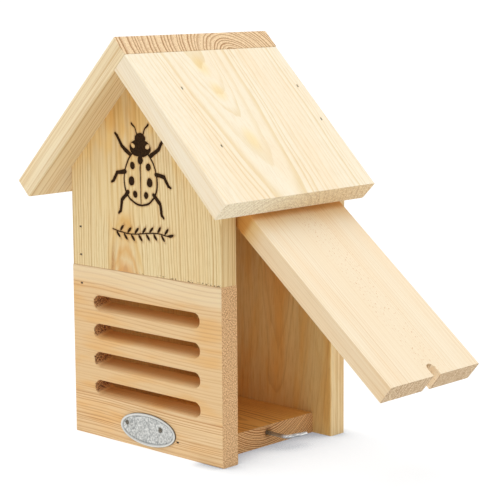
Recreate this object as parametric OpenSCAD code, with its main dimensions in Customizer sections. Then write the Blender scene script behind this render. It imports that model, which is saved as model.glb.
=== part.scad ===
// Ladybird house: a small nest box of planed pine with four entrance slots and a swinging side door.
// Sizes are in millimetres. The house stands on Z = 0, its front looks along -Y and its door is on +X.
// The origin is the middle of the floor board's underside.

/* [House body] */
// Width of the body across its front
body_w = 120; // [104:1:150]
// Depth of the body from the front face to the back face
body_d = 102; // [90:1:140]
// Height of the roof's underside at the ridge
ridge_h = 214; // [200:1:250]
// Sideways place of the ridge, from the middle of the front (minus is left)
ridge_x = -1.5; // [-4:0.5:4]
// Height of the joint between the slotted board and the gable board
joint_h = 100; // [92:1:118]
// Thickness of the front, back and left boards
wall_t = 12; // [9:0.5:16]
// Thickness of the floor board
floor_t = 12; // [10:0.5:16]
// Radius of the planed long edges of every board
edge_r = 1; // [0.3:0.1:2]

/* [Roof] */
// Thickness of the two roof boards
roof_t = 12.8; // [9:0.1:16]
// How far each eave reaches out past the side of the body, measured level
eave_out = 14.6; // [9:0.2:22]
// How far the roof reaches out past the front face
roof_front = 18.5; // [8:0.5:28]

/* [Entrance slots] */
// Number of slots
slot_n = 4; // [2:1:4]
// Distance from each side of the body to the end of a slot
slot_margin = 17.25; // [14:0.25:30]
// Height of a slot
slot_h = 8.5; // [6:0.5:11]
// Height of the lowest slot's middle above the ground
slot_low = 29.4; // [27:0.2:34]
// Distance between the middles of two slots
slot_pitch = 16.6; // [13:0.2:18]
// Width of the broken edge round the mouth of a slot
slot_break = 0.6; // [0.2:0.1:1]
// How steeply the slots rise inwards, so that rain runs out
slot_rise = 12; // [0:1:25]

/* [Side door] */
// Thickness of the door
door_t = 12; // [9:0.5:14]
// Gap between the door and the front board, and the same at the back board
door_side_gap = 1.5; // [0.8:0.1:3]
// Upright gap between the top of the shut door and the roof's underside
door_head_gap = 1.5; // [1:0.1:4]
// Height of the shut door's lower end above the ground
door_low = 4; // [1:0.5:6]
// How far the floor's end lies behind the inner face of a door that is flush with the side
door_inset = 2.2; // [1:0.1:4]
// Depth of the pivot below the roof's underside, at the side of the body
pivot_drop = 10.5; // [8:0.5:14]
// How far the door stands open
door_angle = 51; // [0:1:62]
// Room in the notch on each side of the hook's shank
notch_side = 1.9; // [0.8:0.1:3]
// Room in the notch above the hook's shank
notch_over = 3.4; // [2.4:0.1:8]

/* [Pivot nails] */
// Diameter of a pivot nail
pin_d = 2.2; // [1.6:0.1:3]
// Diameter of a pivot nail's head
pin_head_d = 4.6; // [3.6:0.1:6]
// Thickness of a pivot nail's head
pin_head_t = 0.8; // [0.5:0.1:1.5]
// Length of a pivot nail inside the door
pin_bite = 16; // [10:0.5:24]
// Running clearance round a pivot nail in the door
pin_clear = 0.1; // [0.05:0.01:0.1]

/* [Latch hook] */
// Diameter of the hook's wire
wire_d = 2.2; // [2:0.1:3.4]
// Length of the hook's arm, from the middle of the shank to its tip
arm_l = 17; // [12:0.5:22]
// Radius of the square bend, at the middle of the wire
bend_r = 2.4; // [2:0.1:4]
// Length of the thread inside the floor board
thread_l = 18; // [12:0.5:26]
// Sideways place of the hook, and of the notch that it fits
latch_y = 0.5; // [-6:0.5:6]
// Depth of the shank's middle below the floor's top face
latch_drop = 4.5; // [3.5:0.5:7]
// Gap between the shut door's foot and the end of the floor
stop_gap = 0.3; // [0.2:0.1:0.8]
// Gap between the shut door's outer face and the arm
arm_gap = 0.9; // [0.5:0.1:1.5]
// How far the arm hangs below level
arm_droop = 4; // [0:1:30]
// Clearance round the shank in its pilot hole
thread_clear = 0.1; // [0.05:0.01:0.1]
// Diameter of the torn mouth of the pilot hole
crater_d = 4.4; // [4.2:0.1:6.5]
// Depth of the torn mouth
crater_depth = 1.4; // [0.5:0.1:2.5]

/* [Oval plate] */
// Width of the plate
plate_w = 44.5; // [36:0.5:60]
// Height of the plate
plate_h = 18.6; // [16:0.2:21]
// Thickness of the sheet
plate_t = 0.6; // [0.4:0.1:1]
// Width of the raised rim
rim_w = 1.4; // [1:0.1:2]
// Height of the rim above the sheet
rim_h = 0.5; // [0.2:0.1:1]
// Sideways place of the plate's middle
plate_x = 1.6; // [-8:0.2:8]
// Height of the plate's middle above the ground
plate_z = 11.4; // [11:0.2:13]
// Distance of the left plate nail from the plate's middle
plate_nail_left = 17; // [12:0.5:18]
// Distance of the right plate nail from the plate's middle
plate_nail_right = 10.2; // [8:0.2:16]
// Height of the plate nails above the plate's middle
plate_nail_rise = 1.6; // [0:0.1:2.5]
// Diameter of a plate nail
plate_nail_d = 1.2; // [0.8:0.1:1.6]
// Length of a plate nail
plate_nail_l = 10; // [6:0.5:11]

/* [Brads] */
// Width of a brad's head
brad_w = 2; // [1.4:0.1:2.6]
// Thickness of a brad
brad_t = 1.1; // [0.8:0.1:1.4]
// Length of a brad
brad_l = 25; // [20:0.5:30]
// Depth of a driven head below the wood
brad_set = 0.5; // [0.2:0.1:1]
// Upper front roof brad: distance down the slope from the ridge
roof_brad_front_high = 39; // [28:0.5:50]
// Lower front roof brad: distance down the slope from the ridge
roof_brad_front_low = 80.5; // [60:0.5:84]
// Upper back roof brad: distance down the slope from the ridge
roof_brad_back_high = 43.5; // [28:0.5:50]
// Lower back roof brad: distance down the slope from the ridge
roof_brad_back_low = 69; // [60:0.5:84]
// How far the front boards' brads stand inward from the middle of the left wall
front_brad_in = 1.3; // [0:0.1:2]
// Height above the joint of the gable board's lower brad
gable_brad_low = 6; // [4:0.5:12]
// Distance between the gable board's two brads
gable_brad_step = 16.3; // [12:0.1:30]
// Depth below the joint of the slotted board's upper brad
slotted_brad_drop = 10.7; // [5:0.1:20]

/* [Hanging hole] */
// Diameter of the hole in the back board that the house hangs by
hang_d = 6; // [4:0.5:8]
// Depth of the hole's middle below the ridge
hang_drop = 29; // [26:0.5:50]

/* [Hidden] */

// Wood and metal colours
gable_pine = "#E8CC94";
slotted_pine = "#DFB681";
roof_pine = "#F2E0BA";
shade_pine = "#D9B67C";
floor_pine = "#C08F52";
steel = "#4A4743";
zinc = "#BFC2C4";

// Faces of the body
front_y = -body_d / 2;
back_y = body_d / 2;
back_in = back_y - wall_t;
left_x = -body_w / 2;
right_x = body_w / 2;
inner_d = body_d - 2 * wall_t;
wall_mid = wall_t / 2;

// The roof slopes at 45 degrees on both sides, so the boards meet square at the ridge
slope = 45;
roof_y = front_y - roof_front;
roof_w = back_y - roof_y;
eave_run = (body_w / 2 + eave_out) * sqrt(2);
roof_top = ridge_h + roof_t * sqrt(2);

// The door's pivot, and its lengths above and below it
pivot_x = right_x - door_t / 2;
side_top = ridge_h - right_x + ridge_x;
pivot_h = side_top - pivot_drop;
door_above = pivot_drop - door_head_gap;
door_below = pivot_h - door_low;
door_w = inner_d - 2 * door_side_gap;

// The floor ends behind the door, and the hook reaches past the shut door
floor_end = right_x - door_t - door_inset;
latch_z = floor_t - latch_drop;
arm_out = stop_gap + door_t + arm_gap + wire_d / 2;
notch_w = wire_d + 2 * notch_side;
notch_l = latch_z - door_low + wire_d / 2 + notch_over;

slot_l = body_w - 2 * slot_margin;
pin_l = wall_t + door_side_gap + pin_bite;
// A driven nail fills its hole but for this clearance
tight = 0.02;
// Cuts run this far past a face
past = 1;

// A planed plank: w across, t thick and as long as len, with its four long edges rounded
module plank(w, t, len) {
    linear_extrude(height = len)
        union() {
            square([w - 2 * edge_r, t], center = true);
            square([w, t - 2 * edge_r], center = true);
            for (x = [-1, 1], y = [-1, 1])
                translate([x * (w / 2 - edge_r), y * (t / 2 - edge_r)])
                    circle(r = edge_r, $fn = 32);
        }
}

// Everything that lies above the roof's underside, from one face of the body to the other
module above_roof() {
    far = body_w + ridge_h;
    translate([0, back_y + past, 0])
        rotate([90, 0, 0])
            linear_extrude(height = body_d + 2 * past)
                polygon([[ridge_x, ridge_h], [ridge_x + far, ridge_h - far], [ridge_x + far, ridge_h + past],
                         [ridge_x - far, ridge_h + past], [ridge_x - far, ridge_h - far]]);
}

// A wire brad driven down -Z from the wood's face at Z = 0, with a T head and a chisel point.
// Its hole has the same shape and runs up through the face.
module brad(hole = false) {
    head_t = 1;
    shank = brad_w * 0.6;
    point = 2;
    tip = 0.3;
    top = hole ? past : -brad_set;
    rotate([90, 0, 0])
        translate([0, 0, -brad_t / 2])
            linear_extrude(height = brad_t)
                polygon([[-brad_w / 2, top], [-brad_w / 2, -brad_set - head_t], [-shank / 2, -brad_set - head_t],
                         [-shank / 2, point - brad_l], [-tip / 2, -brad_l], [tip / 2, -brad_l],
                         [shank / 2, point - brad_l], [shank / 2, -brad_set - head_t],
                         [brad_w / 2, -brad_set - head_t], [brad_w / 2, top]]);
}

// The brads of one roof board, driven square to its top face. side is 1 on the right and -1 on the left.
module roof_brads(side, hole = false) {
    rows = [[front_y + wall_mid, roof_brad_front_high], [front_y + wall_mid, roof_brad_front_low],
            [back_y - wall_mid, roof_brad_back_high], [back_y - wall_mid, roof_brad_back_low]];
    for (row = rows)
        translate([ridge_x + side * row[1] * cos(slope), row[0], roof_top - row[1] * sin(slope)])
            rotate([0, side * slope, 0])
                brad(hole);
}

// The brads that hold the left roof board's upper end to the right board
module ridge_brad_row(hole = false) {
    down = roof_t / 2;
    for (part = [0.15, 0.5, 0.85])
        translate([ridge_x - down * cos(slope), roof_y + part * roof_w, roof_top - down * sin(slope)])
            rotate([0, -slope, 0])
                rotate([0, 0, 90])
                    brad(hole);
}

// Brads driven from the front into the left wall and the floor
module front_brads(points, hole = false) {
    for (p = points)
        translate([p[0], front_y, p[1]])
            rotate([90, 0, 0])
                brad(hole);
}

front_brad_x = left_x + wall_mid + front_brad_in;
gable_points = [[front_brad_x, joint_h + gable_brad_low],
                [front_brad_x, joint_h + gable_brad_low + gable_brad_step]];
slotted_points = [[front_brad_x, joint_h - slotted_brad_drop],
                  [plate_x + plate_w / 2 + 0.6 * brad_w, 0.7 * floor_t], [plate_x - plate_w / 4, floor_t / 2]];

// Brads driven from the back into the left wall and the floor
module back_brads(hole = false) {
    points = [[left_x + wall_mid, 0.2 * side_top], [left_x + wall_mid, 0.55 * side_top],
              [left_x + wall_mid, 0.9 * side_top], [-0.2 * body_w, floor_t / 2], [0.2 * body_w, floor_t / 2]];
    for (p = points)
        translate([p[0], back_y, p[1]])
            rotate([-90, 0, 0])
                brad(hole);
}

// Brads driven through the left wall's foot into the end of the floor
module side_brads(hole = false) {
    for (y = [-inner_d / 4, inner_d / 4])
        translate([left_x, y, floor_t / 2])
            rotate([0, -90, 0])
                rotate([0, 0, 90])
                    brad(hole);
}

// A pivot nail along +Y from the face of its board at Y = 0, with its head let in flush.
// grow widens it for the hole in the board.
module pivot_nail(grow = 0, open = 0) {
    rotate([-90, 0, 0]) {
        translate([0, 0, -open])
            cylinder(d = pin_head_d + 2 * grow, h = pin_head_t + grow + open, $fn = 40);
        cylinder(d = pin_d + 2 * grow, h = pin_l - pin_d, $fn = 40);
        translate([0, 0, pin_l - pin_d])
            cylinder(d1 = pin_d + 2 * grow, d2 = pin_d * 0.3, h = pin_d, $fn = 40);
    }
}

module at_front_pivot() {
    translate([pivot_x, front_y, pivot_h])
        children();
}

module at_back_pivot() {
    translate([pivot_x, back_y, pivot_h])
        mirror([0, 1, 0])
            children();
}

// A plate nail driven along +Y from the face of the sheet at Y = 0, with a domed head on it
module plate_nail(grow = 0) {
    head_d = 2.2 * plate_nail_d;
    head_h = 0.5;
    rotate([-90, 0, 0]) {
        if (grow == 0)
            translate([0, 0, -head_h])
                cylinder(d1 = head_d * 0.6, d2 = head_d, h = head_h, $fn = 32);
        cylinder(d = plate_nail_d + 2 * grow, h = plate_nail_l - plate_nail_d, $fn = 32);
        translate([0, 0, plate_nail_l - plate_nail_d])
            cylinder(d1 = plate_nail_d + 2 * grow, d2 = 0.3, h = plate_nail_d, $fn = 32);
    }
}

module at_plate_nails() {
    for (x = [-plate_nail_left, plate_nail_right])
        translate([plate_x + x, front_y - plate_t, plate_z + plate_nail_rise])
            children();
}

module oval(w, h) {
    sides = 72;
    polygon([for (i = [0 : sides - 1]) [w / 2 * cos(360 * i / sides), h / 2 * sin(360 * i / sides)]]);
}

// One entrance slot, from the middle of its mouth at the origin: round ends, rising inwards, and with an
// edge broken at its mouth
module slot() {
    half = slot_l / 2 - slot_h / 2;
    tall = slot_h * cos(slot_rise);
    run = slot_h * tan(slot_rise) + past;
    rotate([slot_rise, 0, 0])
        rotate([-90, 0, 0])
            translate([0, 0, -run])
                linear_extrude(height = wall_t / cos(slot_rise) + 2 * run)
                    union() {
                        square([2 * half, tall], center = true);
                        for (x = [-half, half])
                            translate([x, 0])
                                circle(d = tall, $fn = 48);
                    }
    deep = slot_break + past;
    for (x = [-half, half])
        translate([x, deep, 0])
            rotate([90, 0, 0])
                cylinder(d1 = slot_h - 2 * past, d2 = slot_h + 2 * slot_break, h = deep, $fn = 48);
    translate([-half, 0, 0])
        rotate([90, 0, 90])
            linear_extrude(height = 2 * half)
                polygon([[0, slot_h / 2 + slot_break], [0, -slot_h / 2 - slot_break],
                         [deep, past - slot_h / 2], [deep, slot_h / 2 - past]]);
}

// The upper front board: upright grain, cut to the roof's slope
module front_gable_board() {
    color(gable_pine)
        difference() {
            translate([0, front_y + wall_mid, joint_h])
                plank(body_w, wall_t, ridge_h - joint_h);
            above_roof();
            roof_brads(1, true);
            roof_brads(-1, true);
            front_brads(gable_points, true);
            at_front_pivot() pivot_nail(tight, past);
        }
}

// The lower front board: level grain and the entrance slots
module front_slotted_board() {
    color(slotted_pine)
        difference() {
            translate([left_x, front_y + wall_mid, joint_h / 2])
                rotate([0, 90, 0])
                    plank(joint_h, wall_t, body_w);
            for (i = [0 : slot_n - 1])
                translate([0, front_y, slot_low + i * slot_pitch])
                    slot();
            front_brads(slotted_points, true);
            at_plate_nails() plate_nail(tight);
        }
}

// The back board, in one piece from the ground to the ridge, with the hole to hang it by
module back_board() {
    color(shade_pine)
        difference() {
            translate([0, back_y - wall_mid, 0])
                plank(body_w, wall_t, ridge_h);
            above_roof();
            roof_brads(1, true);
            roof_brads(-1, true);
            back_brads(true);
            at_back_pivot() pivot_nail(tight, past);
            translate([0, back_in - past, ridge_h - hang_drop])
                rotate([-90, 0, 0])
                    cylinder(d = hang_d, h = wall_t + 2 * past, $fn = 48);
        }
}

// The left wall, between the front and back boards and cut to the roof's slope
module left_wall() {
    color(shade_pine)
        difference() {
            translate([left_x + wall_mid, 0, 0])
                rotate([0, 0, 90])
                    plank(inner_d, wall_t, ridge_h);
            above_roof();
            front_brads(concat(gable_points, slotted_points), true);
            back_brads(true);
            side_brads(true);
        }
}

// The floor board, from the left wall to just behind the door
module floor_board() {
    color(floor_pine)
        difference() {
            translate([left_x + wall_t, 0, floor_t / 2])
                rotate([0, 90, 0])
                    rotate([0, 0, 90])
                        plank(inner_d, floor_t, floor_end - left_x - wall_t);
            front_brads(slotted_points, true);
            back_brads(true);
            side_brads(true);
            translate([floor_end, latch_y, latch_z])
                rotate([0, -90, 0]) {
                    translate([0, 0, -past])
                        cylinder(d = wire_d + 2 * thread_clear, h = thread_l + past + thread_clear, $fn = 40);
                    cylinder(d1 = crater_d, d2 = wire_d, h = crater_depth, $fn = 40);
                }
        }
}

// The left roof board laps over the upper end of the right one
module roof_board_left() {
    color(roof_pine)
        difference() {
            translate([ridge_x, roof_y + roof_w / 2, ridge_h])
                rotate([0, -slope, 0])
                    translate([-eave_run, 0, roof_t / 2])
                        rotate([0, 90, 0])
                            rotate([0, 0, 90])
                                plank(roof_w, roof_t, eave_run + roof_t);
            roof_brads(-1, true);
            ridge_brad_row(true);
        }
}

module roof_board_right() {
    color(roof_pine)
        difference() {
            translate([ridge_x, roof_y + roof_w / 2, ridge_h])
                rotate([0, slope, 0])
                    translate([0, 0, roof_t / 2])
                        rotate([0, 90, 0])
                            rotate([0, 0, 90])
                                plank(roof_w, roof_t, eave_run);
            roof_brads(1, true);
            ridge_brad_row(true);
        }
}

// The side door, hung on its pivot nails and notched at its foot for the latch hook
module side_door() {
    color(roof_pine)
        translate([pivot_x, 0, pivot_h])
            rotate([0, -door_angle, 0])
                difference() {
                    translate([0, 0, -door_below])
                        rotate([0, 0, 90])
                            plank(door_w, door_t, door_above + door_below);
                    translate([0, latch_y, notch_l - notch_w / 2 - door_below])
                        rotate([0, 90, 0]) {
                            cylinder(d = notch_w, h = door_t + 2 * past, center = true, $fn = 48);
                            translate([0, -notch_w / 2, -door_t / 2 - past])
                                cube([notch_l, notch_w, door_t + 2 * past]);
                        }
                    for (side = [-1, 1])
                        translate([0, side * (door_w / 2 + past), 0])
                            rotate([side * 90, 0, 0])
                                cylinder(d = pin_d + 2 * pin_clear, h = pin_bite + 2 * past, $fn = 40);
                }
}

module door_pivot_nail_front() {
    color(steel)
        at_front_pivot() pivot_nail();
}

module door_pivot_nail_back() {
    color(steel)
        at_back_pivot() pivot_nail();
}

// The screw hook: a threaded shank in the end of the floor, a square bend and an arm across the door
module latch_hook() {
    reach = arm_out - bend_r;
    tip = wire_d / 6;
    point = 3;
    color(zinc)
        translate([floor_end, latch_y, latch_z])
            rotate([-arm_droop, 0, 0]) {
                translate([point - thread_l, 0, 0])
                    rotate([0, 90, 0])
                        cylinder(d = wire_d, h = thread_l - point + reach, $fn = 40);
                translate([-thread_l, 0, 0])
                    rotate([0, 90, 0])
                        cylinder(d1 = tip, d2 = wire_d, h = point, $fn = 40);
                translate([reach, bend_r, 0])
                    rotate([0, 0, -90])
                        rotate_extrude(angle = 90, $fn = 48)
                            translate([bend_r, 0])
                                circle(d = wire_d, $fn = 40);
                translate([arm_out, bend_r, 0])
                    rotate([-90, 0, 0]) {
                        cylinder(d = wire_d, h = arm_l - bend_r - tip, $fn = 40);
                        translate([0, 0, arm_l - bend_r - tip])
                            cylinder(d1 = wire_d, d2 = wire_d - 2 * tip, h = tip, $fn = 40);
                    }
            }
}

// The oval plate: a thin sheet with a raised rim, nailed flat on the front
module oval_plate() {
    color(zinc)
        difference() {
            translate([plate_x, front_y, plate_z])
                rotate([90, 0, 0])
                    union() {
                        linear_extrude(height = plate_t)
                            oval(plate_w, plate_h);
                        linear_extrude(height = plate_t + rim_h)
                            difference() {
                                oval(plate_w, plate_h);
                                oval(plate_w - 2 * rim_w, plate_h - 2 * rim_w);
                            }
                    }
            at_plate_nails() plate_nail(tight);
        }
}

module plate_nails() {
    color(steel)
        at_plate_nails() plate_nail();
}

module roof_left_brads() {
    color(steel) roof_brads(-1);
}

module roof_right_brads() {
    color(steel) roof_brads(1);
}

module ridge_brads() {
    color(steel) ridge_brad_row();
}

module gable_board_brads() {
    color(steel) front_brads(gable_points);
}

module slotted_board_brads() {
    color(steel) front_brads(slotted_points);
}

module back_board_brads() {
    color(steel) back_brads();
}

module left_wall_brads() {
    color(steel) side_brads();
}

front_gable_board();
front_slotted_board();
back_board();
left_wall();
floor_board();
roof_board_left();
roof_board_right();
side_door();
door_pivot_nail_front();
door_pivot_nail_back();
latch_hook();
oval_plate();
plate_nails();
roof_left_brads();
roof_right_brads();
ridge_brads();
gable_board_brads();
slotted_board_brads();
back_board_brads();
left_wall_brads();
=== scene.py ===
import math

import bmesh
import bpy
import numpy as np
from mathutils import Matrix, Vector, noise


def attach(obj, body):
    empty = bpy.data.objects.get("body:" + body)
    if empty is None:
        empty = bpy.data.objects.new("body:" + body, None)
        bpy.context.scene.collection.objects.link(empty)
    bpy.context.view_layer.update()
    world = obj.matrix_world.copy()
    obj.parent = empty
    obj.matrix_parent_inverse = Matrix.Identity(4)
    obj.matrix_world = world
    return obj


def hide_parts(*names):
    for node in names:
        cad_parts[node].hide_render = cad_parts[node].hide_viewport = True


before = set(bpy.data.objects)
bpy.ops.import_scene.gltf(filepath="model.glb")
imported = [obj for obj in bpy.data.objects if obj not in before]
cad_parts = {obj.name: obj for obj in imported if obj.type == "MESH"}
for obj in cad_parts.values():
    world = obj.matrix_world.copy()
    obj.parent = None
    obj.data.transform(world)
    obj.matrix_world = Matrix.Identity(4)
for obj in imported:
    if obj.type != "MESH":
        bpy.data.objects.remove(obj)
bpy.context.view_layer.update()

# The eye. It stands in front of the house's right corner, a little higher than the ridge, and
# looks slightly down, so that the front, the roof and the open door all show.
mm = 0.001
azimuth, elevation, roll = (math.radians(angle) for angle in (43.262, 9.114, -0.346))
level_share = math.cos(elevation)
back = Vector((math.sin(azimuth) * level_share, -math.cos(azimuth) * level_share, math.sin(elevation)))
right = Vector((math.cos(azimuth), math.sin(azimuth), 0))
up = back.cross(right)
rolled_right = right * math.cos(roll) + up * math.sin(roll)
rolled_up = up * math.cos(roll) - right * math.sin(roll)
camera = bpy.data.objects.new("camera", bpy.data.cameras.new("camera"))
camera.matrix_world = Matrix((rolled_right, rolled_up, back)).transposed().to_4x4()
camera.location = [part * mm for part in (683.226, -690.815, 263.562)]
camera.data.sensor_width = 36
camera.data.lens = 122.66
camera.data.clip_end = 200
bpy.context.scene.collection.objects.link(camera)
bpy.context.scene.camera = camera


# The floor board: a short length of the same planed pine as the rest, cut square across and
# nailed between the other boards. Its sawn end shows below the door, with the rings of a tree
# whose middle lay above the board. All boards share this way of growing and planing.
class Socket:
    """What comes out of a node. Arithmetic on it adds the nodes that work it out."""

    def __init__(self, look, output):
        self.look = look
        self.output = output

    def part(self, name):
        """Another output of the same node."""
        return Socket(self.look, self.output.node.outputs[name])

    def maths(self, operation, other=0.0, swapped=False):
        first, second = (other, self) if swapped else (self, other)
        return self.look.node("Math", {"operation": operation}, {0: first, 1: second})

    def __add__(self, other):
        return self.maths("ADD", other)

    def __sub__(self, other):
        return self.maths("SUBTRACT", other)

    def __rsub__(self, other):
        return self.maths("SUBTRACT", other, swapped=True)

    def __mul__(self, other):
        return self.maths("MULTIPLY", other)

    def __truediv__(self, other):
        return self.maths("DIVIDE", other)

    def __rtruediv__(self, other):
        return self.maths("DIVIDE", other, swapped=True)

    def __pow__(self, other):
        return self.maths("POWER", other)

    def __rpow__(self, other):
        return self.maths("POWER", other, swapped=True)

    def __abs__(self):
        return self.maths("ABSOLUTE")

    __radd__ = __add__
    __rmul__ = __mul__


def paint(code):
    """A written colour as the shader wants it."""
    parts = [int(code[at : at + 2], 16) / 255 for at in (1, 3, 5)]
    linear = [part / 12.92 if part <= 0.04045 else ((part + 0.055) / 1.055) ** 2.4 for part in parts]
    return (*linear, 1.0)


class Look:
    """The nodes that say how a finish, or the studio's room, looks."""

    def __init__(self, tree):
        self.tree = tree
        self.tree.nodes.clear()

    def feed(self, socket, value):
        """Sets a socket or links it. A colour may leave out its fourth part."""
        if isinstance(value, Socket):
            self.tree.links.new(value.output, socket)
        elif socket.type == "RGBA":
            socket.default_value = (*value[:3], 1.0)
        else:
            socket.default_value = value

    def node(self, kind, settings=None, sockets=None, output=0):
        """Adds a node: its settings first, then the values or links of its sockets."""
        made = self.tree.nodes.new("ShaderNode" + kind)
        for key, value in (settings or {}).items():
            if key == "stops":
                ramp = made.color_ramp.elements
                while len(ramp) < len(value):
                    ramp.new(0.5)
                for stop, (at, colour) in zip(ramp, value):
                    stop.position, stop.color = at, colour
            else:
                setattr(made, key, value)
        for key, value in (sockets or {}).items():
            self.feed(made.inputs[key], value)
        return Socket(self, made.outputs[output] if made.outputs else None)


class Finish(Look):
    """A surface whose colour, gloss and relief depend on where a point lies in its piece."""

    def __init__(self, name):
        self.material = bpy.data.materials.new(name)
        self.material.use_nodes = True
        super().__init__(self.material.node_tree)
        self.shader = self.node("BsdfPrincipled")
        self.node("OutputMaterial", sockets={"Surface": self.shader})
        self.place = self.node("TexCoord").part("Object")
        self.normal = self.place.part("Normal")

    def give(self, name, value):
        """Sets or links one of the shader's own sockets."""
        self.feed(self.shader.output.node.inputs[name], value)

    def attribute(self, name):
        """A number that the mesh carries at each of its points."""
        return self.node("Attribute", {"attribute_name": name}, output="Fac")

    def dot(self, vector, direction):
        return self.node("VectorMath", {"operation": "DOT_PRODUCT"}, {0: vector, 1: direction}, "Value")

    def along(self, direction, start=0.0):
        """Millimetres from start, measured along a direction of the piece."""
        return self.dot(self.place, tuple(part / mm for part in direction)) - start

    @property
    def x(self):
        """Millimetres towards the door's side."""
        return self.along((1, 0, 0))

    @property
    def y(self):
        """Millimetres towards the back."""
        return self.along((0, 1, 0))

    @property
    def z(self):
        """Millimetres up."""
        return self.along((0, 0, 1))

    def point(self, x, y, z):
        return self.node("CombineXYZ", sockets={"X": x, "Y": y, "Z": z})

    def reach(self, point, centre=(0.0, 0.0, 0.0)):
        """How far a point lies from a centre."""
        return self.node("VectorMath", {"operation": "DISTANCE"}, {0: point, 1: centre}, "Value")

    def cloud(self, where, detail=2.0, roughness=0.5):
        """Soft noise from 0 to 1, with one lump to each unit of a point's three values."""
        if isinstance(where, tuple):
            where = self.point(*where)
        sockets = {"Vector": where, "Scale": 1.0, "Detail": detail, "Roughness": roughness}
        return self.node("TexNoise", sockets=sockets)

    def lumps(self, size, detail=2.0, roughness=0.5):
        """Soft noise from 0 to 1, with round lumps of so many millimetres."""
        sockets = {0: self.place, "Scale": 1 / (size * mm)}
        return self.cloud(self.node("VectorMath", {"operation": "SCALE"}, sockets), detail, roughness)

    def ramp(self, value, low, high, start=0.0, end=1.0):
        """Goes smoothly from start to end as the value goes from low to high."""
        return self.node(
            "MapRange",
            {"interpolation_type": "SMOOTHSTEP"},
            {"Value": value, "From Min": low, "From Max": high, "To Min": start, "To Max": end},
        )

    def blend(self, share, first, second, how="MIX"):
        """The first colour with a share of the second in it or, with MULTIPLY, laid over it."""
        settings = {"data_type": "RGBA", "blend_type": how}
        return self.node("Mix", settings, {0: share, 6: first, 7: second}, 2)

    def cover(self, share, colour):
        """Lays another colour over a share of the surface."""
        self.colour = self.blend(share, self.colour, colour)

    def stain(self, share, tint):
        """Tints a share of the surface, so that its figure still shows."""
        self.colour = self.blend(share, self.colour, tint, "MULTIPLY")

    def close(self, rough, height, relief):
        """Gives the shader the colour, a roughness and a relief of so many millimetres."""
        self.give("Base Color", self.colour)
        self.give("Roughness", rough)
        bump = {"Height": height, "Distance": relief * mm, "Strength": 1.0}
        self.give("Normal", self.node("Bump", sockets=bump))
        return self.material


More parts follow.
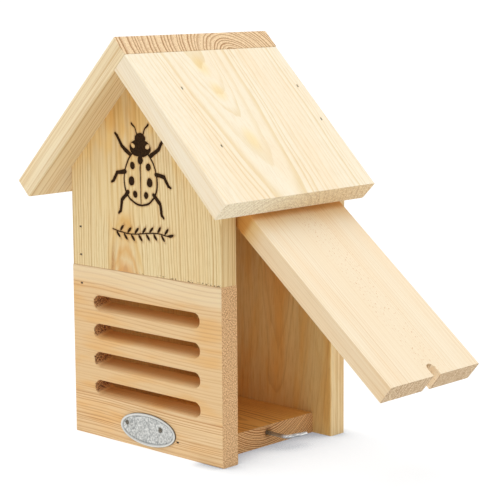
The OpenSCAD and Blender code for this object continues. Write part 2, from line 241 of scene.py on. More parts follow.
class Pine(Finish):
    """Planed pine, cut out of a trunk: rings round a middle line, fibres along it, darker sawn ends.

    grain runs along the fibres and side across the board's face. middle is where the middle of the
    trunk lies in the board, along side and then square to the face, and lean is how far it drifts
    in those directions for each millimetre along the grain. ring is the width of a year's growth,
    early and late are the colours of spring and summer wood, and seed makes each board another one.
    end is the sawn ends' colour and sawn_rings how much their rings stand out. contrast tells how
    much the summer wood shows, sway how far the trunk wanders, wave how far it is from round, heart
    how far the warm core reaches, and young is below 1 where the first years were narrower. streaks
    and veins are the shares of soft and fine stripes, rifts and edge the lines and tint of the
    narrow sides.

    run, across and depth are where a point lies from the trunk's middle, in millimetres, and level
    is its place square to the board's face.
    """

    def __init__(
        self, name, grain, side, middle, lean, ring, early, late, seed,
        end="#D0A070", sawn_rings=0.9, contrast=1.0, sway=7.0, wave=1.6, heart=1.0, core="#F6C884",
        young=1.0, streaks=0.55, veins=0.5, rifts=0.6, edge=(1.0, 1.0, 1.0),
    ):
        super().__init__(name)
        grain, side = Vector(grain).normalized(), Vector(side).normalized()
        self.seed = seed
        self.run = self.along(grain)
        self.across = self.along(side, middle[0]) + self.run * lean[0]
        self.depth = self.along(side.cross(grain), middle[1]) + self.run * lean[1]
        self.level = self.along(side.cross(grain))
        self.cut = self.facing(grain, 0.45, 0.9)
        self.planed = 1 - self.cut
        self.speck = self.lumps(0.75, 4.0, 0.75)
        self.fibre = self.drawn(9, 0.22, 3.0, 0.6)
        fleck = self.drawn(2.2, 0.3, 1.0)
        vein = self.drawn(120, 0.75)
        streak = self.drawn(55, 1.7)
        patch = self.drawn(90, 22)
        radius = self.radius(sway, ring * wave)
        self.late = self.summer(radius, ring, young)

        pale, dark = paint(early), paint(late)
        self.colour = self.blend(self.late * contrast, pale, dark)
        rift = self.cloud((self.run / 150, self.level / (0.45 * ring) + seed, 0.0))
        narrow_side = self.blend(self.ramp(rift, 0.42, 0.68) * (rifts * contrast), pale, dark)
        self.cover(self.facing(side, 0.75, 0.95), self.blend(1.0, narrow_side, edge, "MULTIPLY"))
        self.stain(self.ramp(patch, 0.35, 0.75, 0.0, 0.5), (1.0, 0.90, 0.78))
        self.stain(self.ramp(radius, heart * 0.5, heart, 0.75, 0.0), paint(core))
        self.stain(self.ramp(streak, 0.45, 0.8, 0.0, streaks), (0.93, 0.84, 0.70))
        self.stain(self.ramp(vein, 0.45, 0.75, 0.0, veins), (0.82, 0.73, 0.60))
        self.stain(self.ramp(self.fibre, 0.5, 0.85, 0.0, 0.5), (0.86, 0.76, 0.62))
        self.stain(self.ramp(fleck, 0.76, 0.84, 0.0, 0.5), (0.52, 0.36, 0.22))

        light_end = paint(end)
        dark_end = tuple(part * share for part, share in zip(light_end, (0.52, 0.36, 0.24)))
        sawn = self.blend(self.late**0.6 * sawn_rings, light_end, dark_end)
        speckled = self.ramp(self.speck, 0.46, 0.66, 0.0, 0.8)
        self.cover(self.cut, self.blend(speckled, sawn, (0.60, 0.48, 0.36), "MULTIPLY"))
        self.rough = 0.62 + self.fibre * 0.18 - self.late * 0.12 + self.cut * 0.12
        self.height = self.fibre * self.planed * 0.5 + self.late * 0.25 + self.speck * self.cut * 1.6

    def drawn(self, length, width, detail=2.0, roughness=0.5):
        """Noise drawn out along the fibres, in lumps of so many millimetres."""
        where = (self.run / length, self.across / width + self.seed, self.depth / width)
        return self.cloud(where, detail, roughness)

    def radius(self, sway, bulge):
        """Millimetres from the trunk's middle line, which wanders, in a trunk that isn't quite round."""
        wander = self.cloud((self.run / 70 + self.seed, self.seed * 1.7, 0.0), 1.0).part("Color")
        wander = self.node("SeparateColor", sockets={"Color": wander})
        swerve = (wander - 0.5) * sway
        dive = (wander.part("Green") - 0.5) * sway
        radius = self.reach(self.point(self.across + swerve, self.depth + dive, 0.0))
        bulged = radius + (self.drawn(45, 9) - 0.5) * bulge
        return (radius * 0.5).maths("MAXIMUM", bulged)

    def summer(self, radius, ring, young):
        """How much of the wood is summer wood: it swells through each year and ends sharply."""
        full_grown = 40
        count = radius**young * (full_grown ** (1 - young) / (young * ring))
        sockets = {"W": count * 0.37 + self.seed, "Scale": 1.0, "Detail": 1.0}
        count = count + self.node("TexNoise", {"noise_dimensions": "1D"}, sockets) * 1.6
        year, season = count.maths("FLOOR"), count.maths("FRACT")
        vigour = self.node("TexWhiteNoise", {"noise_dimensions": "1D"}, {"W": year + self.seed})
        swell = self.ramp(season, 0.35, 0.93) ** 2.0
        return swell * self.ramp(season, 0.94, 1.0, 1.0, 0.0) * (0.35 + vigour * 0.65)

    def facing(self, direction, low, high):
        """1 on the faces that look along a direction, either way."""
        return self.ramp(abs(self.dot(self.normal, tuple(direction))), low, high)

    def grit(self, where, low, high, first, second):
        """The tint of a rough sawn end, which turns from the first to the second in fine grains."""
        return self.blend(self.ramp(self.cloud(where, 0.0), low, high), first, second)

    def finish(self):
        return self.close(self.rough, self.height, 0.09)


def pine_board(node, body, pine):
    """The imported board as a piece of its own, with its sawn edges a little eased."""
    welded, eased = 0.002 * mm, 0.3 * mm
    flat, corner, crease = (math.radians(angle) for angle in (0.5, 50, 38))
    shape = bmesh.new()
    shape.from_mesh(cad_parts[node].data)
    bmesh.ops.remove_doubles(shape, verts=shape.verts, dist=welded)
    bmesh.ops.dissolve_limit(shape, angle_limit=flat, verts=shape.verts, edges=shape.edges)
    sharp = [edge for edge in shape.edges if edge.calc_face_angle(0) > corner]
    easing = {"offset": eased, "segments": 2, "profile": 0.55, "affect": "EDGES", "clamp_overlap": True}
    bmesh.ops.bevel(shape, geom=sharp, **easing)
    mesh = bpy.data.meshes.new(node)
    shape.to_mesh(mesh)
    shape.free()
    mesh.shade_smooth()
    mesh.set_sharp_from_angle(angle=crease)
    mesh.materials.append(pine)
    board = bpy.data.objects.new(node + "_pine", mesh)
    bpy.context.scene.collection.objects.link(board)
    even = board.modifiers.new("even faces", "WEIGHTED_NORMAL")
    even.keep_sharp = True
    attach(board, body)
    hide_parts(node)
    return board


floor_pine = Pine(
    "floor pine", grain=(1, 0, 0), side=(0, 1, 0), middle=(-1, -46), lean=(0.0, 0.02), ring=1.1,
    early="#F4C06C", late="#B4742E", seed=3.1, end="#E6B87E", sawn_rings=4.0, contrast=0.95, sway=3.0,
    wave=0.7,
)
# The wood is torn and dark where the latch hook goes in.
hook_hole = (0.5, 7.5, 0.0)
from_hole = floor_pine.reach(floor_pine.point(floor_pine.y, floor_pine.z, 0.0), hook_hole)
torn_wood = floor_pine.ramp(from_hole + floor_pine.speck * 3, 2.6, 6.0, 0.9, 0.0)
floor_pine.stain(torn_wood * floor_pine.cut, (0.45, 0.34, 0.26))
floor_board = pine_board("floor_board", "house", floor_pine.finish())


# The back board and the left wall: wider pieces of the same pine with upright grain. The back
# goes from the ground to the ridge in one piece; the wall is nailed between it and the front.
back_pine = Pine(
    "back board pine", grain=(0, 0, 1), side=(1, 0, 0), middle=(16, -60), lean=(-0.05, -0.10),
    ring=3.2, early="#F9DCA4", late="#CC9A58", seed=11.4, end="#D6A873", contrast=0.3, wave=0.8,
    heart=20.0, core="#FBDDB0", streaks=0.9, rifts=1.8, edge=(0.88, 0.89, 0.92),
)
# Its outside has bleached. Its inside has resin in it and a painted warm shade, darker beside the doorway.
back_inside, back_outside = 39, 51
bleached_back = back_pine.ramp(back_pine.y, back_outside - 0.4, back_outside - 0.1, 0.0, 0.55)
back_pine.cover(bleached_back, paint("#F4D8A4"))
inside_back = back_pine.ramp(back_pine.y, back_inside + 0.1, back_inside + 0.4, 1.0, 0.0)
back_resin = back_pine.cloud((back_pine.run / 50, back_pine.across / 9, 2.6))
back_pine.stain(back_pine.ramp(back_resin, 0.42, 0.7) * inside_back, (1.0, 0.88, 0.66))
# The boards' inside faces are tinted browner and warmer: painted shade inside the house.
indoor_shade = (0.94, 0.86, 0.66)
back_pine.stain(inside_back, indoor_shade)
# Painted shade darkens the back board's inside further beside the doorway.
doorway_shade = back_pine.ramp(back_pine.x, 12, 44)
back_pine.stain(doorway_shade * inside_back, (0.88, 0.89, 0.90))
back_board = pine_board("back_board", "house", back_pine.finish())

wall_pine = Pine(
    "left wall pine", grain=(0, 0, 1), side=(0, 1, 0), middle=(-70, -80), lean=(0.02, -0.05),
    ring=2.2, early="#F5D9A6", late="#CB9A5C", seed=23.9, end="#D6A873", contrast=0.35, wave=0.8,
)
wall_inside = -48
# The wall's inside face is painted darker and browner, as shade inside the house.
shaded_wall_inside = wall_pine.ramp(wall_pine.x, wall_inside - 0.5, wall_inside - 0.2)
wall_pine.stain(shaded_wall_inside, (0.66, 0.46, 0.20))
left_wall = pine_board("left_wall", "house", wall_pine.finish())


# The slotted board: the lower half of the front, set with its grain level. The four entrance
# slots are routed through it with round ends, where the cutter has left the end grain dark.
slotted_pine = Pine(
    "slotted board pine", grain=(1, 0, 0), side=(0, 0, 1), middle=(132, 17), lean=(0.0, 0.02),
    ring=1.5, early="#EDCC9C", late="#C08648", seed=37.2, end="#D8B284", sawn_rings=0.2, sway=3.0,
    wave=0.5, veins=0.7, edge=(1.0, 0.97, 0.92),
)
front_outside, front_inside = -51, -39
upward, inward = slotted_pine.z, slotted_pine.y
# The figure is quiet between the slots, with resin in soft level bands and a pale strip on top.
quiet = slotted_pine.ramp(abs(upward - 58), 26, 36, 0.65, 0.0)
slotted_pine.cover(quiet * slotted_pine.planed, paint("#E5C08C"))
resin_band = slotted_pine.cloud((slotted_pine.run / 42, upward / 9, 5.3))
resin_band = slotted_pine.ramp(resin_band, 0.45, 0.72)
slotted_pine.stain(resin_band * slotted_pine.planed, (1.0, 0.88, 0.68))
pale_strip = slotted_pine.ramp(upward + slotted_pine.run * 0.02, 87, 92, 0.0, 0.6)
slotted_pine.cover(pale_strip * slotted_pine.planed, paint("#EEDAB2"))
# The saw has run aslant over its ends.
slant = (0.0, (inward + upward) / 0.9, (upward - inward) / 1.3)
saw_marks = slotted_pine.grit(slant, 0.3, 0.72, (1.26, 1.30, 1.34), (0.80, 0.72, 0.62))
slotted_pine.stain(slotted_pine.cut, saw_marks)
# The cutter has torn the slots' round ends, darkened by torn grain and by painted shade.
from_middle = abs(slotted_pine.run)
torn_and_shaded_slot_ends = slotted_pine.cut * slotted_pine.ramp(from_middle, 45, 47, 1.0, 0.0)
lace = slotted_pine.ramp(slotted_pine.speck, 0.42, 0.58)
slotted_pine.cover(torn_and_shaded_slot_ends, slotted_pine.blend(lace, paint("#D8A26A"), paint("#5E3612")))
# Painted shade browns the wood inside the slots.
routed = slotted_pine.ramp(inward, front_outside, front_outside + 10)
routed = routed * slotted_pine.ramp(from_middle, 44, 47, 1.0, 0.0)
slotted_pine.stain(routed * 0.85, (0.92, 0.68, 0.36))
slotted_pine.stain(slotted_pine.ramp(inward, front_inside - 0.4, front_inside - 0.1), indoor_shade)
slotted_board = pine_board("front_slotted_board", "house", slotted_pine.finish())


# The gable board: the upper half of the front, with upright grain, sawn to the roof's slope and
# planed. Its foot is torn a little where the saw came out, just above the joint.
gable_pine = Pine(
    "gable board pine", grain=(0, 0, 1), side=(1, 0, 0), middle=(-13, 55), lean=(0.02, 0.10),
    ring=2.1, early="#EBD5A3", late="#C39B5C", seed=52.6, end="#DDB47C", sway=2.5, wave=1.2,
    heart=16.0, core="#F8D9A4",
)
gable_foot = 100
off_middle = abs(gable_pine.across + 2)
# The rings are wide and soft behind the picture, and amber patches lie above it.
calm = gable_pine.ramp(gable_pine.run, 124, 138) * gable_pine.ramp(off_middle, 16, 27, 1.0, 0.0)
soft_ring = gable_pine.cloud((gable_pine.run / 80, gable_pine.across / 2.0, 4.2))
soft_ring = gable_pine.ramp(soft_ring, 0.40, 0.68)
gable_pine.cover(calm * 0.88, gable_pine.blend(soft_ring, paint("#EBD19B"), paint("#D8B679")))
amber = gable_pine.cloud((gable_pine.run / 22, gable_pine.across / 7, 5.2), 1.0)
amber = gable_pine.blend(gable_pine.ramp(amber, 0.40, 0.62), (0.97, 0.95, 0.96), (1.0, 0.89, 0.68))
gable_pine.stain(gable_pine.ramp(gable_pine.run, 146, 172), amber)
# At the foot the rings close in a flame of warm bands, with a dark scar beside it.
flame_height = 40
flame = gable_pine.run + gable_pine.across * gable_pine.across * 0.14
flame = flame + gable_pine.cloud((gable_pine.run / 8, gable_pine.across / 4, 3.9)) * 8
bands = {
    0: "#D69C5C", 7: "#DDA86C", 12: "#E4CB9C", 17: "#DDB070",
    22: "#E8D3A4", 28: "#E6CC96", 34: "#E0BA72", 40: "#EAD2A0",
}
stops = [(at / flame_height, paint(code)) for at, code in bands.items()]
banded = gable_pine.node("ValToRGB", {"stops": stops}, {"Fac": (flame - gable_foot) / flame_height})
in_flame = gable_pine.ramp(flame, 132, 142, 1.0, 0.0)
in_flame = in_flame * gable_pine.ramp(abs(gable_pine.across - 2), 9, 17, 1.0, 0.0)
gable_pine.cover(in_flame * 0.7, banded)
from_scar = abs(gable_pine.across + 11 - (gable_pine.run - gable_foot) * 0.12)
scar = gable_pine.ramp(from_scar, 0.0, 2.6, 1.0, 0.0) * gable_pine.ramp(gable_pine.run, 104, 122, 1.0, 0.0)
gable_pine.stain(scar * gable_pine.ramp(gable_pine.fibre, 0.2, 0.6), (0.66, 0.46, 0.28))
# The point under the roof is painted darker, as the roof's shade. Resin rises below the picture and above
# it.
gable_pine.stain(gable_pine.ramp(gable_pine.run, 174, 198), (0.84, 0.78, 0.68))
rising_resin = gable_pine.cloud((gable_pine.across / 7, gable_pine.run / 26, 0.7))
rising_resin = gable_pine.ramp(rising_resin, 0.42, 0.66) * gable_pine.ramp(off_middle, 6, 18, 1.0, 0.0)
behind_picture = gable_pine.ramp(abs(gable_pine.run - 156), 18, 30, 1.0, 0.0)
gable_pine.stain(rising_resin * (1 - behind_picture) * 0.8, (0.95, 0.78, 0.52))
gable_pine.stain(gable_pine.ramp(gable_pine.y, front_inside - 0.4, front_inside - 0.1), indoor_shade)
# The saw has torn small chips out of the foot's edge, more of them to the right.
chip = (gable_pine.run / 0.8, gable_pine.across / 1.4, gable_pine.depth / 1.4)
chip = gable_pine.cloud(chip, 1.0) + gable_pine.ramp(gable_pine.x, -30, 30, -0.12, 0.05)
at_foot = gable_pine.ramp(gable_pine.run, gable_foot + 0.4, gable_foot + 1.6, 1.0, 0.0)
chipped = gable_pine.ramp(chip, 0.62, 0.68) * at_foot * gable_pine.facing((0, 1, 0), 0.6, 0.9)
gable_pine.cover(chipped, paint("#6E4E2A"))
gable_board = pine_board("front_gable_board", "house", gable_pine.finish())


# The picture: a ladybird and a small leafy sprig, burnt into the planed face of the gable board.
# Here it is a skin of char as fine as a hair, with brown scorched edges.
step = 0.3
picture_half, picture_foot, picture_head = 27, 117, 189
columns = np.arange(-picture_half, picture_half, step)
x, z = np.meshgrid(columns, np.arange(picture_foot, picture_head, step))
noise.seed_set(4)
shake = [noise.noise_vector(Vector((a / 3.5, b / 3.5, 7.7))) for a, b in zip(x.flat, z.flat)]
shake = 0.3 * np.array(shake).reshape(*x.shape, 3)
middle_x, lift = -1.6, 3.4
straight = x + shake[..., 0]
wide = np.abs(x - middle_x + shake[..., 0])
tall = z - lift + shake[..., 1]


def burnt_line(across, points, halves):
    """Millimetres outside a bent stroke with half of its width given at each bend."""
    gap = np.full(x.shape, 99.0)
    for (ax, az), (bx, bz), first, last in zip(points, points[1:], halves, halves[1:]):
        share = (across - ax) * (bx - ax) + (tall - az) * (bz - az)
        share = np.clip(share / ((bx - ax) ** 2 + (bz - az) ** 2), 0, 1)
        away = np.hypot(across - ax - share * (bx - ax), tall - az - share * (bz - az))
        gap = np.minimum(gap, away - first - (last - first) * share)
    return gap


def burnt_oval(middle, halves, turn=0.0, across=wide):
    """Millimetres outside an oval."""
    dx, dz = across - middle[0], tall - middle[1]
    cosine, sine = math.cos(math.radians(turn)), math.sin(math.radians(turn))
    along, over = dx * cosine + dz * sine, dz * cosine - dx * sine
    return (np.hypot(along / halves[0], over / halves[1]) - 1) * min(halves)


# The ladybird is drawn on one side of its middle line and mirrored: its shell, the shield with an
# eye cut out, the head, the shell's seam, a feeler, three legs, and then the spots.
shell_up, shell_half = tall - 151, 13.2
shell = np.hypot(wide / (shell_half - 0.12 * shell_up), shell_up / 15.4) - 1
leg = [1.25, 1.1, 0.95, 0.7]
marks = [
    np.abs(shell * shell_half) - 0.5,
    np.maximum(burnt_oval((0, 167.2), (8.6, 4.9)), -burnt_oval((5.9, 168.4), (1.8, 1.3), 25)),
    burnt_oval((0, 172.6), (4.3, 3.2)),
    burnt_line(wide, [(0, 163), (0, 136)], [0.45, 0.2]),
    burnt_line(wide, [(2.4, 174.6), (4.1, 178.4), (6.6, 180.6)], [0.5, 0.4, 0.7]),
    burnt_line(wide, [(8.4, 163.5), (14.6, 167.4), (18.6, 173.2), (20.2, 174.4)], leg),
    burnt_line(wide, [(12.4, 153.5), (18.8, 152.6), (22.0, 147.8), (23.8, 147.0)], leg),
    burnt_line(wide, [(10.4, 142.0), (15.4, 137.4), (16.6, 131.2), (18.0, 129.8)], leg),
]
for spot, size in (((0, 160.6), 2.2), ((6.4, 157.2), 1.9), ((7.3, 148.6), 2.4), ((4.4, 141.4), 1.8)):
    marks.append(burnt_oval(spot, (size, size * 1.1)))
# The sprig has a leaf at every bend of its stem, to one side and the other, and one at its tip.
stem = [(a, 119.8 + 1.1 * math.sin(a / 7)) for a in range(-25, 21, 3)]
marks.append(burnt_line(straight, stem, [0.35] * len(stem)))
for number, (a, b) in enumerate(stem[1:-1]):
    way = 1 if number % 2 else -1
    marks.append(burnt_oval((a + 1.6, b + 2.1 * way), (2.2, 0.85), 48 * way, straight))
marks.append(burnt_oval((stem[-1][0] + 1.8, stem[-1][1] + 0.5), (2.4, 0.9), 12, straight))
gap = np.min(marks, axis=0)

# Only the cells near a mark become part of the skin.
near_mark = gap < 1.3
cells = near_mark[:-1, :-1] | near_mark[1:, :-1] | near_mark[:-1, 1:] | near_mark[1:, 1:]
used = np.zeros(near_mark.shape, bool)
for corner in (used[:-1, :-1], used[1:, :-1], used[:-1, 1:], used[1:, 1:]):
    corner |= cells
order = np.cumsum(used.ravel()).reshape(used.shape) - 1
corners = np.stack([order[:-1, :-1], order[:-1, 1:], order[1:, 1:], order[1:, :-1]], axis=-1)[cells]
skin_y = (front_outside - 0.03) * mm
skin = bpy.data.meshes.new("burnt picture")
skin.from_pydata([(a * mm, skin_y, b * mm) for a, b in zip(x[used], z[used])], [], corners.tolist())
depths = {"char": np.clip(0.5 - gap / 0.36, 0, 1), "scorch": np.clip(1 - gap / 1.2, 0, 1) ** 2}
for name, depth in depths.items():
    burn = skin.attributes.new(name, "FLOAT", "POINT")
    burn.data.foreach_set("value", depth[used].astype(np.float32))

burnt = Finish("burnt pine")
strand = burnt.cloud((burnt.x / 0.3, 0.0, burnt.z / 5), 3.0, 0.6)
crust = burnt.lumps(0.8, 3.0)
char = burnt.ramp(burnt.attribute("char") + (strand - 0.5) * 0.5, 0.3, 0.7)
scorch = burnt.attribute("scorch") * burnt.ramp(crust, 0.3, 0.7, 0.2, 0.5)
burnt.give("Alpha", (char * 0.99).maths("MAXIMUM", scorch))
burnt.give("Specular IOR Level", 0.1)
black = burnt.ramp(crust * 0.6 + strand * 0.4, 0.4, 0.7)
black = burnt.blend(black, paint("#241303"), paint("#42290A"))
burnt.colour = burnt.blend(char, paint("#B07A40"), black)
skin.materials.append(burnt.close(0.8 - crust * 0.2, crust, 0.05))
picture = bpy.data.objects.new("burnt_picture", skin)
bpy.context.scene.collection.objects.link(picture)
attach(picture, "house")


# The roof: two boards of paler, faster-grown pine that meet square at the ridge. The left one
# laps over the top of the right one, so its sawn end runs along the ridge.
roof_left_pine = Pine(
    "left roof pine", grain=(-1, 0, -1), side=(0, 1, 0), middle=(13, 145), lean=(0.0, 0.0), ring=2.7,
    early="#F4E2BC", late="#C89E62", seed=61.3, end="#FBDDB2", sawn_rings=1.4, contrast=0.8,
    sway=2.0, wave=0.6, heart=3.0, young=0.8, streaks=0.5, veins=0.9,
)
# The board's underside is painted darker: painted shade.
shaded_underside = roof_left_pine.ramp(roof_left_pine.level, 152.6, 153.2, 1.0, 0.0)
roof_left_pine.stain(shaded_underside, (0.86, 0.84, 0.78))
roof_left = pine_board("roof_board_left", "house", roof_left_pine.finish())

roof_right_pine = Pine(
    "right roof pine", grain=(1, 0, -1), side=(0, 1, 0), middle=(-19, -132), lean=(0.0, -0.10),
    ring=3.1, early="#FFF2D8", late="#F1D9A8", seed=77.7, end="#EBD3A6", sawn_rings=0.33,
    contrast=0.95, sway=2.5, wave=0.7, heart=17.0, core="#FFE6B8", streaks=0.25, veins=0.3,
    edge=(0.92, 0.91, 0.90),
)
rearward, square = roof_right_pine.y, roof_right_pine.level
# Three amber smudges lie in the tips of the rings, one below the other down the slope.
for place, half_length in ((-141, 9), (-122, 8), (-87, 10)):
    downward = (roof_right_pine.run - place) / half_length
    smudge = roof_right_pine.reach(roof_right_pine.point(downward, (rearward + 20) / 5.5, 0.0))
    smudge = roof_right_pine.ramp(smudge + roof_right_pine.fibre * 0.6, 0.5, 1.5, 1.0, 0.0)
    roof_right_pine.stain(smudge, (1.0, 0.93, 0.74))
# The sawn end along the eave is rough, more so to the back, and bleached to the front.
slant = ((rearward + square) / 0.7, (square - rearward) / 2.2, 0.0)
eave_grit = roof_right_pine.grit(slant, 0.32, 0.68, (0.86, 0.78, 0.70), (1.12, 1.16, 1.18))
rougher = roof_right_pine.ramp(rearward, -50, 20, 0.2, 0.9)
roof_right_pine.stain(roof_right_pine.cut, roof_right_pine.blend(rougher, (1.0, 1.0, 1.0), eave_grit))
bleached_eave = roof_right_pine.ramp(rearward, -48, 38)
bleached_eave = roof_right_pine.blend(bleached_eave, (1.04, 1.20, 1.52), (0.96, 0.96, 1.0))
roof_right_pine.stain(roof_right_pine.cut, bleached_eave)
roof_right = pine_board("roof_board_right", "house", roof_right_pine.finish())


# The side door: a narrow pale board with fine straight grain, hung on two nails under the roof.
# Its foot is notched for the latch hook, and it stands open.
door_angle = math.radians(51)
door_pine = Pine(
    "door pine", grain=(math.sin(door_angle), 0, -math.cos(door_angle)), side=(0, 1, 0),
    middle=(-120, -130), lean=(0.01, 0.0), ring=1.6, early="#FDEDD1", late="#EBCB9A", seed=88.2,
    end="#DAC3A0", contrast=0.6, sway=2.0, wave=0.6, streaks=0.25, veins=0.4, edge=(0.86, 0.80, 0.71),
)
# Its head under the roof is painted darker and warmer as the eave's shadow, most of all right at the eave,
# and on its narrow sides too.
door_head_shade = door_pine.ramp(door_pine.run, -36, -16, 1.0, 0.0)
door_pine.stain(door_head_shade, (1.0, 0.82, 0.54))
eave_shadow = door_pine.ramp(door_pine.run + door_pine.fibre * 3, -31.0, -26.5, 1.0, 0.0)
door_pine.stain(eave_shadow, (0.84, 0.62, 0.36))
door_pine.stain(door_head_shade * door_pine.facing((0, 1, 0), 0.6, 0.9), (0.86, 0.82, 0.60))
# The middle of its face is plainer, with small dark pricks of resin. Its ends are rough.
plain = door_pine.ramp(abs(door_pine.y + 3), 6, 18, 0.6, 0.0)
door_pine.cover(plain * door_pine.planed * (1 - door_head_shade), paint("#FAE7C7"))
prick = door_pine.cloud((door_pine.run / 1.6, door_pine.across / 0.7, door_pine.depth / 0.7), 1.0)
prick = door_pine.ramp(prick, 0.66, 0.72) * door_pine.ramp(abs(door_pine.y - 3), 4, 15, 1.0, 0.0)
door_pine.stain(prick * door_pine.planed, (0.76, 0.52, 0.30))
grains = (door_pine.across / 0.9, door_pine.level / 0.9, door_pine.run / 0.9)
end_grit = door_pine.grit(grains, 0.32, 0.68, (0.82, 0.76, 0.68), (1.14, 1.16, 1.18))
door_pine.stain(door_pine.cut, end_grit)
side_door = pine_board("side_door", "door", door_pine.finish())


# The nails: wire nails that the door turns on, and narrow brads driven just below the wood. They
# are plain drawn steel, gone dark, and the plate's two short nails are a little brighter.
def dark_steel(name, shade):
    """Drawn steel with a dull skin and lighter worn spots."""
    steel = Finish(name)
    wear = steel.lumps(0.5, 3.0)
    steel.give("Metallic", 0.85)
    steel.colour = steel.blend(steel.ramp(wear, 0.35, 0.7), paint(shade), paint("#8C857A"))
    return steel.close(0.35 + wear * 0.3, wear, 0.03)


nail_steel = dark_steel("nail steel", "#4B4640")
brad_steel = dark_steel("brad steel", "#2E2822")
plate_nail_steel = dark_steel("plate nail steel", "#5C564A")
for name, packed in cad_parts.items():
    if name.endswith("brads"):
        packed.data.materials[0] = brad_steel
    elif name == "plate_nails":
        packed.data.materials[0] = plate_nail_steel
    elif "nail" in name:
        packed.data.materials[0] = nail_steel


# The latch: a screw hook of zinc-plated wire, screwed into the sawn end of the floor board and
# bent square. Its arm lies across the shut door's foot.
hook_zinc = Finish("hook zinc")
hook_zinc.give("Metallic", 0.35)
out, over, rise = hook_zinc.x, hook_zinc.y, hook_zinc.z
dull = hook_zinc.lumps(0.8, 3.0)
# The screw's thread is a ridge that winds along the shank, which is worn brown and painted darker in the
# thread's grooves as shade.
thread_pitch, screw_height = 1.2, 7.5
winding = (out / thread_pitch + (rise - screw_height) * 0.2).maths("FRACT")
ridge = abs(winding - 0.5)
threaded = hook_zinc.ramp(ridge, 0.1, 0.5) * hook_zinc.ramp(out, 49.0, 51.0, 1.0, 0.0)
shank = hook_zinc.ramp(out, 56.0, 59.0, 1.0, 0.0) * hook_zinc.ramp(over, 2.5, 4.0, 1.0, 0.0)
# Worn brown, with painted shade in the thread's grooves.
worn = hook_zinc.blend(hook_zinc.ramp(ridge, 0.15, 0.45), paint("#5E564A"), paint("#A0937C"))
worn = hook_zinc.blend(hook_zinc.ramp(out, 46.5, 52.0), worn, paint("#A3927A"))
# The arm is bright zinc with painted glints, and painted shade greys it where it faces down.
painted_glints = hook_zinc.ramp(hook_zinc.cloud((out / 0.5, over / 3.5, rise / 0.5)), 0.45, 0.6)
arm = hook_zinc.blend(painted_glints, paint("#B9BCBF"), paint("#FFFFFF"))
facing_up = hook_zinc.node("SeparateXYZ", sockets={"Vector": hook_zinc.normal}, output="Z")
# Painted shade on the arm's faces that look down.
below = hook_zinc.ramp(facing_up, -0.7, 0.2, 1.0, 0.0)
arm = hook_zinc.blend(below, arm, (0.36, 0.38, 0.40), "MULTIPLY")
hook_zinc.colour = hook_zinc.blend(shank, arm, worn)
hook_finish = hook_zinc.close(0.22 + dull * 0.2 + shank * 0.2, dull * 0.1 + threaded, 0.15)
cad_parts["latch_hook"].data.materials[0] = hook_finish


# The oval plate: a stamped zinc sheet with a raised rim and a hammered, plain field, nailed to the
# foot of the front with two short nails that dent it.
plate_middle, plate_half = (1.6, 11.4), (22.25, 9.3)
nails_across, nails_up = (-17, 10.2), 1.6
field_rise, hammered_from = 0.58, 1.2
# Each ring of the plate lies so far inside its outline and stands so far out from the board.
rim = [(0, 0), (0, 0.4), (0.1, 0.75), (0.35, 1.0), (0.7, 1.1), (1.05, 1.02), (1.35, 0.8), (1.6, 0.62)]
rings = rim + [(inset, field_rise) for inset in (1.9, *np.linspace(2.3, 9.3, 21))]
around = 144
plate_points = []
for inset, stands_out in rings:
    for number in range(around):
        turn = 2 * math.pi * number / around
        dx = (plate_half[0] - inset) * math.cos(turn)
        dz = (plate_half[1] - inset) * math.sin(turn)
        height = stands_out
        if inset > hammered_from:
            blows = noise.noise((dx / 1.3, dz / 1.3, 4.4)) + 0.5 * noise.noise((dx / 0.6, dz / 0.6, 9.1))
            height += 0.13 * blows * min(1, (inset - hammered_from) / 0.8)
            for nail in nails_across:
                height -= 0.3 * math.exp(-((dx - nail) ** 2 + (dz - nails_up) ** 2) / 1.6)
        plate_point = (plate_middle[0] + dx, front_outside - height, plate_middle[1] + dz)
        plate_points.append([part * mm for part in plate_point])
plate_faces = []
for row in range(len(rings) - 1):
    for number in range(around):
        outer, inner, following = row * around, (row + 1) * around, (number + 1) % around
        plate_faces.append((outer + number, outer + following, inner + following, inner + number))
plate_shape = bpy.data.meshes.new("oval plate")
plate_shape.from_pydata(plate_points, [], plate_faces)
shares = {
    "rim": lambda inset: (1.9 - inset) / 0.5,
    "groove": lambda inset: 1 - abs(inset - 1.75) / 0.45,
    "skirt": lambda inset: 1 - inset / 0.3,
}
for name, share in shares.items():
    values = [max(0.0, min(1.0, share(inset))) for inset, stands_out in rings for number in range(around)]
    plate_shape.attributes.new(name, "FLOAT", "POINT").data.foreach_set("value", values)
joined = bmesh.new()
joined.from_mesh(plate_shape)
bmesh.ops.remove_doubles(joined, verts=joined.verts, dist=0.001 * mm)
bmesh.ops.recalc_face_normals(joined, faces=joined.faces)
joined.to_mesh(plate_shape)
joined.free()
plate_shape.shade_smooth()

# The field is mottled and spangled zinc, with grime and painted shade in the dents round the nails.
# The rim is smoother and lighter, its groove painted a little darker as shade, and its steep outer edge
# painted dark.
zinc = Finish("plate zinc")
zinc.give("Metallic", 0.7)
smooth_rim = zinc.attribute("rim")
bloom = zinc.lumps(1.25, 4.0, 0.7)
spangle = zinc.lumps(3.5)
nail_gaps = []
for nail in nails_across:
    nail_head = (plate_middle[0] + nail, front_outside - 0.7, plate_middle[1] + nails_up)
    nail_gaps.append(zinc.reach(zinc.place, [part * mm for part in nail_head]) / mm)
grime_and_dent_shade = nail_gaps[0].maths("MINIMUM", nail_gaps[1]) + bloom * 3
zinc.colour = zinc.blend(zinc.ramp(bloom, 0.36, 0.62), paint("#A6A8A6"), paint("#E4E4E0"))
zinc.stain(zinc.ramp(spangle, 0.4, 0.7, 0.0, 0.35), paint("#BDBFBE"))
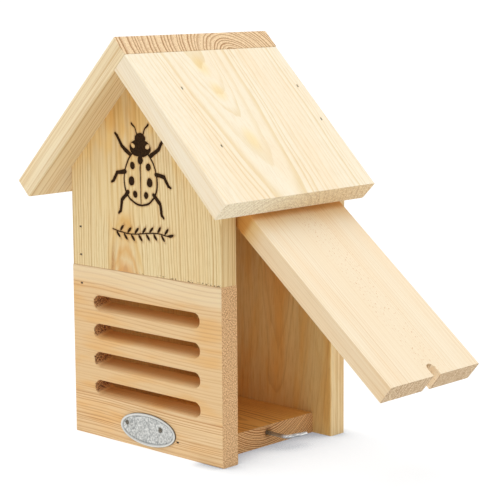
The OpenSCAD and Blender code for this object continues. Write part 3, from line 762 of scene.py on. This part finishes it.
# Grime and painted shade round the nails' dents.
zinc.stain(zinc.ramp(grime_and_dent_shade, 2.2, 4.2, 0.7, 0.0), paint("#8C8B7C"))
zinc.cover(smooth_rim * 0.85, paint("#E2E2DD"))
zinc.stain(zinc.attribute("groove"), paint("#A9ACAC"))
zinc.cover(zinc.attribute("skirt"), paint("#5A5248"))
plate_shape.materials.append(zinc.close(0.5 - smooth_rim * 0.14, bloom, 0.06))
oval_plate = bpy.data.objects.new("zinc_plate", plate_shape)
bpy.context.scene.collection.objects.link(oval_plate)
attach(oval_plate, "house")
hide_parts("oval_plate")


# The studio: a wide white sweep that glows a little, to stand the house on, and a broad lamp
# overhead. The room is bright near the sweep and dimmer above.
sweep_shape = bmesh.new()
bmesh.ops.create_circle(sweep_shape, cap_ends=True, radius=60, segments=96)
sweep_mesh = bpy.data.meshes.new("sweep")
sweep_shape.to_mesh(sweep_mesh)
sweep_shape.free()
sweep = bpy.data.objects.new("sweep", sweep_mesh)
bpy.context.scene.collection.objects.link(sweep)
sweep.location.z = -0.02 * mm
paper = Finish("sweep paper")
paper.colour = (0.24, 0.245, 0.25)
tooth = paper.lumps(3)
# A painted shadow dims the paper's glow beside the doorway, where the house shuts out the open air.
open_air = paper.node("AmbientOcclusion", {"samples": 6}, {"Distance": 60 * mm}, "AO")
by_doorway = paper.ramp(paper.x, 36, 47) * paper.ramp(abs(paper.y), 51, 62, 1.0, 0.0)
shade = paper.ramp(open_air, 0.3, 0.95, 1.0, 0.0) ** 0.8 * by_doorway
paper.give("Emission Color", paper.blend(shade, (1.0, 1.0, 1.0), (0.28, 0.31, 0.36)))
paper.give("Emission Strength", 0.85)
paper.give("Specular IOR Level", 0.0)
sweep_mesh.materials.append(paper.close(0.9, tooth, 0.02))

lamp = bpy.data.objects.new("lamp", bpy.data.lights.new("lamp", "SUN"))
lamp.data.energy = 1.15
lamp.data.angle = math.radians(60)
lamp.rotation_euler = Vector((0.05, -0.15, 1.0)).to_track_quat("Z", "Y").to_euler()
bpy.context.scene.collection.objects.link(lamp)

studio = bpy.data.worlds.new("studio")
bpy.context.scene.world = studio
studio.use_nodes = True
room = Look(studio.node_tree)
view = room.node("TexCoord", output="Generated")
rising = room.node("SeparateXYZ", sockets={"Vector": view}, output="Z")
dimming = {"Value": rising, "From Min": 0.0, "From Max": 0.08, "To Min": 1.0, "To Max": 0.70}
walls = {"Color": (1.0, 1.0, 1.0), "Strength": room.node("MapRange", sockets=dimming)}
room.node("OutputWorld", sockets={"Surface": room.node("Background", sockets=walls)})
bpy.context.scene.view_settings.view_transform = "Standard"
